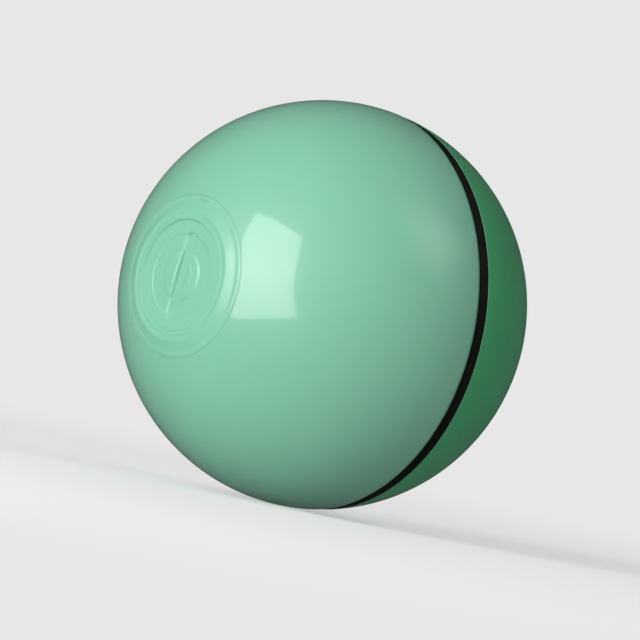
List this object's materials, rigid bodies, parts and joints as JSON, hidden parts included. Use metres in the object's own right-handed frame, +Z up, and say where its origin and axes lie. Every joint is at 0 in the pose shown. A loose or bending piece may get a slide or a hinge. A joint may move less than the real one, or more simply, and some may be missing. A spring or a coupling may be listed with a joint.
{
  "type": "self rolling pet toy ball",
  "caption": "Motorised toy ball: a two part shell with a grooved ring and a coin slot cover turns round a weighted core on its spin axis.",
  "frame": {"origin": "the point where the ball touches the floor, right under its centre", "axes": "X along the spin axis, from the pole cover toward the cap; +Z up from the floor"},
  "size_m": [0.0626, 0.064, 0.064],
  "materials": {
    "mint_plastic": "gloss",
    "black_rubber": "matte",
    "black_plastic": "satin",
    "white_plastic": "satin",
    "grey_plastic": "satin",
    "clear_plastic": "gloss",
    "nylon": "satin",
    "steel": "satin",
    "plated_iron": "satin",
    "brass": "satin",
    "bronze": "satin",
    "battery_foil": "satin",
    "board_laminate": "satin",
    "red_insulation": "satin"
  },
  "bodies": {
    "shell": {"main_shell": "mint_plastic", "drive_hub_gear": "nylon", "hub_gear_screw_1": "steel", "hub_gear_screw_2": "steel", "hub_gear_screw_3": "steel", "front_bush": "bronze"},
    "ring_carrier": {"traction_ring": "black_rubber"},
    "cap": {"cap_shell": "mint_plastic", "closure_ring": "black_plastic", "rear_bush": "bronze"},
    "gasket_carrier": {"cover_gasket": "black_rubber"},
    "cover": {"pole_cover": "mint_plastic"},
    "core": {"battery_cell": "battery_foil", "battery_lead_black": "black_plastic", "battery_lead_red": "red_insulation", "battery_tray": "grey_plastic", "board_screw_1": "steel", "board_screw_2": "steel", "capacitor": "steel", "charge_socket": "steel", "circuit_board": "board_laminate", "controller_chip": "black_plastic", "core_front_housing": "white_plastic", "core_rear_housing": "white_plastic", "counterweight": "plated_iron", "first_gear_pin": "steel", "front_thrust_washer": "bronze", "gearbox_plate": "grey_plastic", "housing_screw_1": "steel", "housing_screw_2": "steel", "housing_screw_3": "steel", "light_pipe": "clear_plastic", "motor_can": "steel", "motor_end_bell": "white_plastic", "motor_lead_black": "black_plastic", "motor_lead_red": "red_insulation", "motor_terminal_1": "brass", "motor_terminal_2": "brass", "rear_axle_pin": "steel", "rear_thrust_washer": "bronze", "second_gear_pin": "steel", "service_board": "board_laminate", "service_cable": "grey_plastic", "status_led": "white_plastic", "switch_body": "black_plastic", "tilt_sensor": "steel", "weight_screw_1": "steel", "weight_screw_2": "steel"},
    "button": {"power_button": "grey_plastic"},
    "second_gear": {"second_gear": "nylon"},
    "first_gear": {"first_gear": "nylon"},
    "motor_rotor": {"motor_shaft": "steel", "motor_pinion": "brass"}
  },
  "joints": [
    {"name": "core_spin", "type": "hinge", "parent": "shell", "child": "core", "pos_m": [0, 0, 0.032], "axis": [1, 0, 0], "continuous": true},
    {"name": "second_gear_spin", "type": "hinge", "parent": "core", "child": "second_gear", "pos_m": [0, -0.00996, 0.02013], "axis": [1, 0, 0], "continuous": true},
    {"name": "first_gear_spin", "type": "hinge", "parent": "core", "child": "first_gear", "pos_m": [0, -0.00151, 0.02101], "axis": [1, 0, 0], "continuous": true},
    {"name": "motor_spin", "type": "hinge", "parent": "core", "child": "motor_rotor", "pos_m": [0, 0.00715, 0.0198], "axis": [1, 0, 0], "continuous": true},
    {"name": "cap_lift", "type": "slide", "parent": "shell", "child": "ring_carrier", "axis": [1, 0, 0], "range_m": [0, 0.00214]},
    {"name": "cap_turn", "type": "hinge", "parent": "ring_carrier", "child": "cap", "pos_m": [0, 0, 0.032], "axis": [1, 0, 0], "range_deg": [0, 85]},
    {"name": "cover_lift", "type": "slide", "parent": "shell", "child": "gasket_carrier", "axis": [-1, 0, 0], "range_m": [0, 0.000954]},
    {"name": "cover_turn", "type": "hinge", "parent": "gasket_carrier", "child": "cover", "pos_m": [0, 0, 0.032], "axis": [-1, 0, 0], "range_deg": [0, 85]},
    {"name": "button_press", "type": "slide", "parent": "core", "child": "button", "axis": [1, 0, 0], "range_m": [0, 0.0005], "stiffness_N_per_m": 400, "springref_m": -0.0005}
  ],
  "couplings": [
    {"joint": "second_gear_spin", "follows": "core_spin", "ratio": 5.2},
    {"joint": "first_gear_spin", "follows": "core_spin", "ratio": -12.48},
    {"joint": "motor_spin", "follows": "core_spin", "ratio": 36.053},
    {"joint": "cap_lift", "follows": "cap_turn", "m_per_rad": 0.0014324},
    {"joint": "cover_lift", "follows": "cover_turn", "m_per_rad": 0.00063662}
  ]
}
